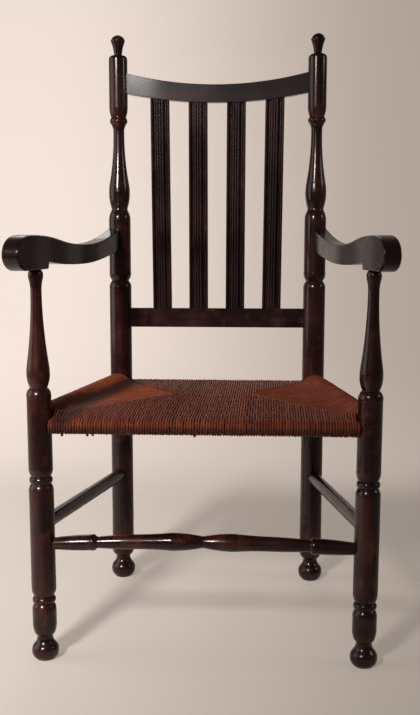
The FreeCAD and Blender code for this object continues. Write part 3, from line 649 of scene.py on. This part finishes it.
@dataclass(frozen=True)
class CordLook:
    """How the rush is twisted: two leaves laid round each other, thicker here and thinner there.

    Fields:
        lobe, pitch: how much of the radius the leaves stand out, and the length of a twist.
        fine_step, coarse_step: the distance of the rings in sight and out of it.
        pitch_range, radius_range: how much the cords differ, as factors.
        swell, swell_rate, tone_swing, tone_rate: the waves of a cord's thickness and tone.
        sway, bob: its waves sideways and upwards, as sizes and radians a metre.
    """

    radius: float = 2.2 * MM
    lobe: float = 0.11
    pitch: float = 19.0 * MM
    sides: int = 8
    fine_step: float = 2.3 * MM
    coarse_step: float = 7.0 * MM
    pitch_range: Span = (0.85, 1.2)
    radius_range: Span = (0.94, 1.05)
    swell: float = 0.05
    swell_rate: Span = (90.0, 160.0)
    tone_swing: float = 0.3
    tone_rate: Span = (20.0, 60.0)
    sway: tuple[Span, ...] = ((0.28 * MM, 80.0), (0.18 * MM, 210.0))
    bob: Span = (0.22 * MM, 130.0)

    def tube(self, path: Array, across: Array, random: Random) -> Surface:
        """A twisted cord along a path.

        The ring at length s is r(a, s) = r0 (1 + lobe cos 2(a - 2 pi s / pitch)), in the plane
        of the path's own side and normal, and r0 swells slowly along the cord.

        Args:
            path, across: the centre line, and the unit vector that is square to it all along.
            random: the source of the differences from cord to cord.
        """
        length = along_path(path)
        tangent = np.gradient(path, axis=0)
        tangent /= np.linalg.norm(tangent, axis=1)[:, None]
        normal = np.cross(tangent, across)
        normal /= np.linalg.norm(normal, axis=1)[:, None]
        angle = np.arange(self.sides) * FULL_TURN / self.sides
        pitch = self.pitch * random.uniform(*self.pitch_range)
        phase = random.uniform(0, FULL_TURN)
        turn = phase + FULL_TURN * length / pitch
        swell = 1 + self.swell * np.sin(length * random.uniform(*self.swell_rate) + phase)
        radius = self.radius * random.uniform(*self.radius_range) * swell
        ring = radius[:, None] * (1 + self.lobe * np.cos(2 * (angle[None, :] - turn[:, None])))
        offset = np.cos(angle)[None, :, None] * across
        offset = offset + np.sin(angle)[None, :, None] * normal[:, None, :]
        corners = path[:, None, :] + ring[:, :, None] * offset
        own = random.uniform(0, 1)
        wave = 0.5 + 0.5 * np.sin(length * random.uniform(*self.tone_rate) + phase)
        tone = (1 - self.tone_swing) * own + self.tone_swing * wave
        lay = self.lay(length, turn)
        quads = strip_quads(*ring.shape)
        body = Surface(corners.reshape(-1, 3), quads, np.repeat(tone, self.sides), lay)
        first, last = self.cap(corners[0], tone[0], False), self.cap(corners[-1], tone[-1], True)
        return merge([body, first, last])

    def lay(self, length: Array, turn: Array) -> Array:
        """The place of each quad's corners round the twist, in leaves, and along the cord.

        Args:
            length, turn: the length up to each ring, and how far the twist has turned there.
        """
        count = self.sides + 1
        around = 2 * np.arange(count)[None, :] / self.sides - 2 * turn[:, None] / FULL_TURN
        uv = np.stack([around, np.repeat(length[:, None], count, axis=1)], axis=-1)
        corners = [uv[:-1, :-1], uv[:-1, 1:], uv[1:, 1:], uv[1:, :-1]]
        return np.stack(corners, axis=2).reshape(-1, 2)

    def cap(self, ring: Array, tone: float, onward: bool) -> Surface:
        """A flat end: quads across a ring, between corners that lie opposite each other.

        Args:
            ring, tone: the ring's corners, and how light the cord is there.
            onward: whether the end looks the way the path runs.
        """
        left = np.arange(self.sides // 2 - 1)
        right = self.sides - 1 - left
        quads = np.stack([left, left + 1, right - 1, right], axis=-1)
        if not onward:
            quads = quads[:, ::-1]
        return Surface(ring, quads, np.full(self.sides, tone), np.zeros((len(quads) * 4, 2)))


# The rush seat


@dataclass(frozen=True)
class PostAxis:
    """Where one post meets the floor and how far it leans for each metre of its height."""

    foot: Span
    lean: Span

    def at(self, level: float) -> Array:
        """The plan point of the axis at a height."""
        return np.array(self.foot) + np.array(self.lean) * level


@dataclass(frozen=True)
class SeatPlan:
    """The sizes that the seat shares with the frame: posts, rails, seams and the cord itself.

    Angles are in degrees, a rail's level is the height of its middle, a seam's level is that of
    the weave's upper face and its thickness is the distance to the lower face.
    """

    depth_shift: float = 241.200 * MM
    rear_spread: float = 397.0 * MM
    front_spread: float = 545.0 * MM
    post_depth: float = 431.5 * MM
    back_rake: float = 1.13
    rear_splay: float = 0.2
    front_lean: float = 0.66
    front_splay: float = 0.53
    rear_post_radius: float = 22.5 * MM
    front_post_radius: float = 20.6 * MM
    front_rail_level: float = 406.5 * MM
    rear_rail_level: float = 409.0 * MM
    side_rail_level: float = 424.5 * MM
    rail_half_width: float = 13.15 * MM
    rail_half_height: float = 9.75 * MM
    cord: float = 4.5 * MM
    seam_half_length: float = 70.0 * MM
    seam_setback: float = 225.0 * MM
    seam_middle_level: float = 420.5 * MM
    seam_end_level: float = 429.5 * MM
    seam_thickness: float = 16.0 * MM
    shoulder_distance: float = 58.0 * MM
    shoulder_level: float = 425.5 * MM
    shoulder_thickness: float = 26.0 * MM
    start_distance: float = 18.0 * MM
    pocket_full_width: float = 120.0 * MM
    pocket_crown: float = 5.0 * MM
    side_hollow: float = 17.0 * MM
    hollow_start: float = 32.0 * MM
    cross_hollow: float = 2.0 * MM
    roll_run: float = 16.0 * MM
    hollow_run: float = 18.0 * MM

    def post(self, row: str, side: int) -> PostAxis:
        """The axis of one post; the rear ones are leant back after they are splayed.

        Args:
            row, side: "front" or "rear", and -1 on the left or 1 on the right.
        """
        if row == "front":
            foot = (side * self.front_spread / 2, self.depth_shift - self.post_depth)
            sideways = side * math.tan(math.radians(self.front_splay))
            return PostAxis(foot, (sideways, math.tan(math.radians(self.front_lean))))
        rake = math.radians(self.back_rake)
        sideways = side * math.tan(math.radians(self.rear_splay)) / math.cos(rake)
        foot = (side * self.rear_spread / 2, self.depth_shift)
        return PostAxis(foot, (sideways, math.tan(rake)))

    def cross_level(self, row: str) -> float:
        """The height of the front or the rear rail."""
        return self.front_rail_level if row == "front" else self.rear_rail_level

    def corner(self, row: str, side: int) -> Array:
        """The plan point of a corner of the weave."""
        return self.post(row, side).at((self.front_rail_level + self.side_rail_level) / 2)

    def seam_end(self, side: int) -> Array:
        """The plan point where the middle seam ends on one side."""
        depth = self.corner("front", side)[1] + self.seam_setback
        return np.array([side * self.seam_half_length, depth])

    def diagonal(self, row: str, side: int) -> list[tuple[Array, float, float]]:
        """The plan point, top and underside of a diagonal seam's start, shoulder and end.

        Args:
            row, side: the post at its corner.
        """
        corner = self.corner(row, side)
        end = self.seam_end(side)
        outward = (end - corner) / np.linalg.norm(end - corner)
        roll = self.rail_half_height + self.cord
        start = corner + outward * self.start_distance
        shoulder = corner + outward * self.shoulder_distance
        return [
            (start, self.side_rail_level + roll, self.cross_level(row) - roll),
            (shoulder, self.shoulder_level, self.shoulder_level - self.shoulder_thickness),
            (end, self.seam_end_level, self.seam_end_level - self.seam_thickness),
        ]


class Side(Enum):
    """The four sectors of the weave, each as the two posts that its rail joins."""

    FRONT = (("front", -1), ("front", 1))
    RIGHT = (("front", 1), ("rear", 1))
    REAR = (("rear", 1), ("rear", -1))
    LEFT = (("rear", -1), ("front", -1))


@dataclass
class Sector:
    """One sector of the weave: every cord runs from the seam over the rail and back below it.

    Fields:
        loose_ends: the place along the rail and the drop of each broken end.
        inset: how far the mat lies inside the cords' outer face.
        dive, upper_drop, lower_rise: over which width a cord dives into the seam, and how far.
        crossing: whether the rail runs from left to right.
        stations: rows of a distance along the rail, the width there, the top and the underside.
    """

    plan: SeatPlan
    side: Side
    loose_ends: tuple[Span, ...] = ()
    inset: float = 3.4 * MM
    dive: float = 8.0 * MM
    upper_drop: float = 6.0 * MM
    lower_rise: float = 4.0 * MM
    start: Array = field(init=False)
    along: Array = field(init=False)
    inward: Array = field(init=False)
    length: float = field(init=False)
    crossing: bool = field(init=False)
    level: float = field(init=False)
    stations: Array = field(init=False)

    def __post_init__(self) -> None:
        """Work out the rail's line and the stations."""
        plan = self.plan
        first, second = self.side.value
        self.crossing = first[0] == second[0]
        self.level = plan.cross_level(first[0]) if self.crossing else plan.side_rail_level
        self.start = plan.post(*first).at(self.level)
        line = plan.post(*second).at(self.level) - self.start
        self.length = float(np.linalg.norm(line))
        self.along = line / self.length
        self.inward = np.array([-self.along[1], self.along[0]])
        rows = plan.diagonal(*first)
        onward = plan.diagonal(*second)[::-1]
        if self.crossing:
            middle = (plan.seam_end(first[1]) + plan.seam_end(second[1])) / 2
            top = plan.seam_middle_level
            rows += [(middle, top, top - plan.seam_thickness), *onward]
        else:
            rows += onward[1:]
        away = np.array([point for point, _, _ in rows]) - self.start
        levels = [levels for _, *levels in rows]
        self.stations = np.column_stack([away @ self.along, away @ self.inward, levels])

    def section(self, distance: float, inset: float) -> tuple[float, ...]:
        """The width, the seam's top and underside and the roll's half width and height.

        Args:
            distance, inset: where it is along the rail, and how far it is drawn in.
        """
        plan = self.plan
        where, *columns = self.stations.T
        width, top, under = (float(np.interp(distance, where, column)) for column in columns)
        if self.crossing:
            top = self.smiling(distance, top)
        half_width = plan.rail_half_width + plan.cord - inset
        half_height = plan.rail_half_height + plan.cord - inset
        return width, top - inset, under + inset, half_width, half_height

    def smiling(self, distance: float, top: float) -> float:
        """The middle seam's level: a parabola between its two ends, and as given elsewhere."""
        share = (distance - self.stations[3, 0]) / self.plan.seam_half_length
        if abs(share) >= 1:
            return top
        drop = self.plan.seam_end_level - self.plan.seam_middle_level
        return self.plan.seam_middle_level + drop * share * share

    def profile(self, distance: float, inset: float) -> tuple[Array, Array, Array]:
        """The section in its own plane.

        Above, a cubic leaves the roll flat, drops into the hollow behind it and runs to the seam;
        the roll is half an ellipse; below, a cubic swells downwards on its way back to the seam.

        Args:
            distance, inset: where it is along the rail, and how far it is drawn in.

        Returns:
            Its three stretches, each with points as (inwards, level).
        """
        plan, level = self.plan, self.level
        width, top, under, half_width, half_height = self.section(distance, inset)
        scale = min(1.0, max(0.0, width - plan.hollow_start) / plan.pocket_full_width)
        hollow = (plan.cross_hollow if self.crossing else plan.side_hollow) * scale
        reach = 0.5 * width if self.crossing else min(plan.hollow_run, 0.55 * width)
        share = np.linspace(0, 1, 160)
        crown, sole = level + half_height, level - half_height
        run = min(plan.roll_run, 0.45 * width)
        above = cubic([(width, top), (reach, top - hollow), (run, crown), (0, crown)], share)
        turn = math.pi * (0.5 + share)
        roll = np.stack([half_width * np.cos(turn), level + half_height * np.sin(turn)], axis=1)
        belly = plan.pocket_crown * scale
        third = width / 3
        poles = [(0, sole), (third, sole - belly), (2 * third, under - belly), (width, under)]
        return above, roll, cubic(poles, share)

    def in_space(self, flat: Array, distance: float) -> Array:
        """Points of a section's plane, as points in space."""
        foot = self.start + self.along * distance
        plan_points = foot[None, :] + self.inward[None, :] * flat[:, :1]
        return np.concatenate([plan_points, flat[:, 1:]], axis=1)

    def cord_path(self, distance: float, look: CordLook, random: Random) -> Array:
        """The centre line of one cord, which dives into the seam at both of its ends.

        Args:
            distance: the cord's place along the rail.
            look, random: how it is cut up and sways, and the source of the differences.
        """
        above, roll, below = self.profile(distance, self.plan.cord / 2)
        flat = np.concatenate([above, roll[1:], below[1:]])
        near = np.clip((flat[:, 0] - (above[0, 0] - self.dive)) / self.dive, 0, 1)
        upper = np.arange(len(flat)) < len(above)
        lower = np.arange(len(flat)) >= len(flat) - len(below)
        flat[:, 1] += near**2 * (lower * self.lower_rise - upper * self.upper_drop)
        path = self.in_space(flat, distance)
        length = along_path(path)
        fine_end = length[len(above) + len(roll) - 1]
        fine = np.linspace(0, fine_end, max(8, round(fine_end / look.fine_step)))
        count = max(4, round((length[-1] - fine_end) / look.coarse_step))
        coarse = np.linspace(fine_end, length[-1], count)
        wanted = np.concatenate([fine, coarse[1:]])
        path = resampled(path, wanted)
        phases = random.uniform(0, FULL_TURN, 3)
        waves = [
            size * np.sin(wanted * rate + phase)
            for (size, rate), phase in zip((*look.sway, look.bob), phases)
        ]
        path[:, :2] += (waves[0] + waves[1])[:, None] * self.along[None, :]
        path[:, 2] += waves[2]
        return path

    def hanging_end(self, distance: float, drop: float) -> Array:
        """A broken end that droops below the roll: a parabola that steepens as it falls.

        Args:
            distance, drop: its place along the rail, and how far it hangs down.
        """
        sole = self.level - self.plan.rail_half_height - self.plan.cord / 2
        share = np.linspace(0, 1, 7)
        flat = np.stack([-3.0 * MM - share * 4.0 * MM, sole - drop * share**2], axis=1)
        return self.in_space(flat, distance)

    def outer_path(self, distance: float, reach: float, radius: float, look: CordLook) -> Array:
        """The part of a cord's way round the rail that stands clear of the post beside it.

        Args:
            distance, reach: the cord's place along the rail and from the post's axis.
            radius, look: the post's radius, and how finely the cord is cut up.
        """
        roll = self.profile(distance, self.plan.cord / 2)[1]
        clear = np.hypot(reach, roll[:, 0]) > radius - self.plan.cord / 2
        path = self.in_space(roll[clear], distance)
        whole = along_path(path)[-1]
        return resampled(path, np.linspace(0, whole, max(6, round(whole / look.fine_step))))

    def cords(self, look: CordLook, random: Random) -> Surface:
        """The cords from post to post, the loose ends and one outer cord beside each post.

        Args:
            look, random: how the cords look, and the source of the differences.
        """
        first, second = self.side.value
        radius = {"front": self.plan.front_post_radius, "rear": self.plan.rear_post_radius}
        clear = self.plan.cord / 2 + 0.4 * MM
        begin = radius[first[0]] + clear
        end = self.length - radius[second[0]] - clear
        count = round((end - begin) / (self.plan.cord * 1.01)) + 1
        across = np.array([*self.along, 0.0])
        parts = []
        for distance in np.linspace(begin, end, count):
            path = self.cord_path(float(distance), look, random)
            parts.append(look.tube(path, across, random))
        for distance, drop in self.loose_ends:
            parts.append(look.tube(self.hanging_end(distance, drop), across, random))
        for post, edge, step in ((first, begin, -1), (second, end, 1)):
            distance = edge + step * self.plan.cord
            reach = distance if step < 0 else self.length - distance
            path = self.outer_path(distance, reach, radius[post[0]], look)
            parts.append(look.tube(path, across, random))
        woven = merge(parts)
        log.info("%s sector: %d cords, %d quads", self.side.name.lower(), count, len(woven.quads))
        return woven

    def packing(self) -> Surface:
        """The mat of broken rush under the cords: the section drawn in, carried along the rail."""
        margin = 24 * MM
        rows = []
        for distance in np.linspace(margin, self.length - margin, 60).tolist():
            above, roll, below = self.profile(distance, self.inset)
            loop = np.concatenate([above[::8], roll[8::8], below[8::8]])
            rows.append(self.in_space(loop, distance))
        grid = np.array(rows)
        return Surface(grid.reshape(-1, 3), strip_quads(*grid.shape[:2]))


@dataclass
class RushSeat:
    """The woven seat: four sectors of cord and the mat packed inside them."""

    plan: SeatPlan = field(default_factory=SeatPlan)
    look: CordLook = field(default_factory=CordLook)
    seed: int = 1720
    loose_ends: tuple[Span, ...] = (
        (39.0 * MM, 4.5 * MM),
        (82.0 * MM, 4.0 * MM),
        (91.0 * MM, 3.0 * MM),
        (262.0 * MM, 3.0 * MM),
    )

    def build(self) -> None:
        """Weave the four sectors and pack them."""
        cord_finish = TwistedRush("rush_cord").make()
        mat_finish = PackedRush("rush_packing").make()
        for number, side in enumerate(Side):
            name = side.name.lower()
            sector = Sector(self.plan, side, self.loose_ends if side is Side.FRONT else ())
            random = np.random.default_rng(self.seed + number)
            cords = sector.cords(self.look, random).to_object(f"rush_cords_{name}", cord_finish)
            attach(cords, "root")
            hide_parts("rush_seat")
            mat = sector.packing().to_object(f"rush_packing_{name}", mat_finish)
            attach(mat, "root")
            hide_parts("seat_stuffing")


# The frame


@dataclass
class TurnedFrame:
    """The wooden pieces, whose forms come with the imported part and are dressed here."""

    nodes: dict[str, bpy.types.Object]
    upright: tuple[str, ...] = tuple(
        f"{row}_post_{side}" for row in ("rear", "front") for side in ("left", "right")
    )
    banisters: tuple[str, ...] = tuple(
        f"banister_{place}" for place in ("outer_left", "inner_left", "inner_right", "outer_right")
    )

    def dress(self) -> None:
        """Give each piece the finish whose grain runs its way."""
        up, across, deep = GrainAxis.UPRIGHT, GrainAxis.ACROSS, GrainAxis.DEEP
        splat = VarnishedWood("varnished_banister", up, warm=(0.038, 0.0090, 0.0082), wear=0.3)
        crest = VarnishedWood(
            "varnished_crest",
            across,
            wear=0.25,
            softness=3.0 * MM,
            relief=0.06,
            coat=1.0,
            coat_ior=2.3,
            fall=(10.0 * MM, 0.10, 0.27),
        )
        arm = VarnishedWood(
            "varnished_arm", deep, warm=(0.020, 0.0062, 0.0056), wear=0.15, softness=3.0 * MM
        )
        rail = VarnishedWood("varnished_across", across, wear=0.55)
        bar = VarnishedWood("varnished_deep", deep, wear=0.35)
        peg = VarnishedWood("varnished_pegs", deep, dark=(0.02, 0.009, 0.006), wear=0.6)
        finishes = (
            (self.upright, VarnishedWood("varnished_upright", up)),
            (self.banisters, splat),
            (("lower_back_rail", "front_stretcher"), rail),
            (("crest_rail",), crest),
            (("side_stretcher_left", "side_stretcher_right"), bar),
            (("arm_left", "arm_right"), arm),
            (("front_seat_rail", "rear_seat_rail"), BareWood("bare_across", across)),
            (("left_seat_rail", "right_seat_rail"), BareWood("bare_deep", deep)),
            (("back_rail_pegs", "arm_pegs"), peg),
        )
        for names, look in finishes:
            material = look.make()
            for name in names:
                for slot in self.nodes[name].material_slots:
                    slot.material = material
                log.info("%s dressed as %s", name, material.name)


# The studio


@dataclass(frozen=True)
class Lamp:
    """One square lamp: where it hangs, what it lights, its width, power and beam."""

    name: str
    place: Point
    aim: Point
    size: float
    watts: float
    spread: float = 180.0
    colour: Colour = (1.0, 0.95, 0.90)

    def hang(self) -> None:
        """Hang the lamp and turn it to what it lights."""
        data = bpy.data.lights.new(self.name, "AREA")
        data.size = self.size
        data.energy = self.watts
        data.spread = math.radians(self.spread)
        data.color = self.colour
        lamp = bpy.data.objects.new(self.name, data)
        lamp.location = self.place
        away = Vector(self.place) - Vector(self.aim)
        lamp.rotation_euler = away.to_track_quat("Z", "Y").to_euler()
        bpy.context.scene.collection.objects.link(lamp)


@dataclass(frozen=True)
class Sweep:
    """The paper: its floor's front edge, the wall behind, its height and width and the bend."""

    front: float = -7.0
    back: float = 4.2
    height: float = 5.0
    half_width: float = 7.0
    bend: float = 0.8

    def roll_out(self) -> None:
        """Build it: a line, a quarter circle and a line in Y and Z, carried along X."""
        turn = np.linspace(0, math.pi / 2, 24)
        curve = np.stack([np.sin(turn) - 1, 1 - np.cos(turn)], axis=1) * self.bend
        curve[:, 0] += self.back
        line = np.concatenate([[[self.front, 0.0]], curve, [[self.back, self.height]]])
        edges = [np.insert(line, 0, side * self.half_width, axis=1) for side in (-1, 1)]
        low = np.arange(len(line) - 1)
        quads = np.stack([low, low + len(line), low + len(line) + 1, low + 1], axis=-1)
        paper = Surface(np.concatenate(edges), quads)
        paper.to_object("studio_floor", PaleSurface("pale_floor").make())


@dataclass
class Studio:
    """The floor, the wall behind it, the lamps and the camera.

    The lamps are a narrow key lamp, a wall's light from the left, and weak ones behind and on
    the right. The two strengths of the air are those on the object and to the camera.
    """

    eye: Point = (0.1086, -1.8625, 0.7337)
    pitch: float = math.pi / 2 - 0.1242
    roll: float = -0.0004
    yaw: float = 0.058
    lens: float = 51.51
    film: float = 36.0
    air_colour: Colour = (0.93, 0.85, 0.79)
    air_strength: Span = (0.10, 0.75)
    paper: Sweep = Sweep()
    lamps: tuple[Lamp, ...] = (
        Lamp("key_lamp", (-1.0, -2.4, 1.8), (-0.95, 0.0, 0.50), 0.40, 17.5, 64.0),
        Lamp("wall_bounce", (-2.8, -0.3, 1.3), (0.0, 0.0, 0.6), 2.2, 26.0),
        Lamp("back_lamp", (-0.6, 3.4, 2.6), (0.0, 0.0, 0.5), 1.6, 12.0),
        Lamp("side_lamp", (3.4, -0.3, 1.9), (0.0, 0.0, 0.5), 0.6, 9.0),
    )

    def build(self) -> None:
        """Set up everything round the chair."""
        self.paper.roll_out()
        for lamp in self.lamps:
            lamp.hang()
        self.air()
        self.camera()
        bpy.context.scene.view_settings.view_transform = "Standard"

    def air(self) -> None:
        """A plain pale surrounding light."""
        world = bpy.data.worlds.new("studio_air")
        world.use_nodes = True
        bench = Bench(world.node_tree)
        back = world.node_tree.nodes["Background"]
        bench.plug(back.inputs["Color"], self.air_colour)
        seen = bench.add("LightPath").outputs["Is Camera Ray"]
        bench.plug(back.inputs["Strength"], bench.spread(seen, 0.0, 1.0, *self.air_strength))
        bpy.context.scene.world = world

    def camera(self) -> None:
        """The camera at the photograph's place and angle."""
        data = bpy.data.cameras.new("viewpoint")
        data.lens = self.lens
        data.sensor_width = self.film
        camera = bpy.data.objects.new("viewpoint", data)
        camera.location = self.eye
        camera.rotation_euler = (self.pitch, self.roll, self.yaw)
        bpy.context.scene.collection.objects.link(camera)
        bpy.context.scene.camera = camera


def main() -> None:
    """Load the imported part, dress it, weave its seat and light it."""
    logging.basicConfig(level=logging.INFO, format="%(name)s: %(message)s")
    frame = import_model()
    TurnedFrame(frame["nodes"]).dress()
    RushSeat().build()
    Studio().build()


if __name__ == "__main__":
    main()
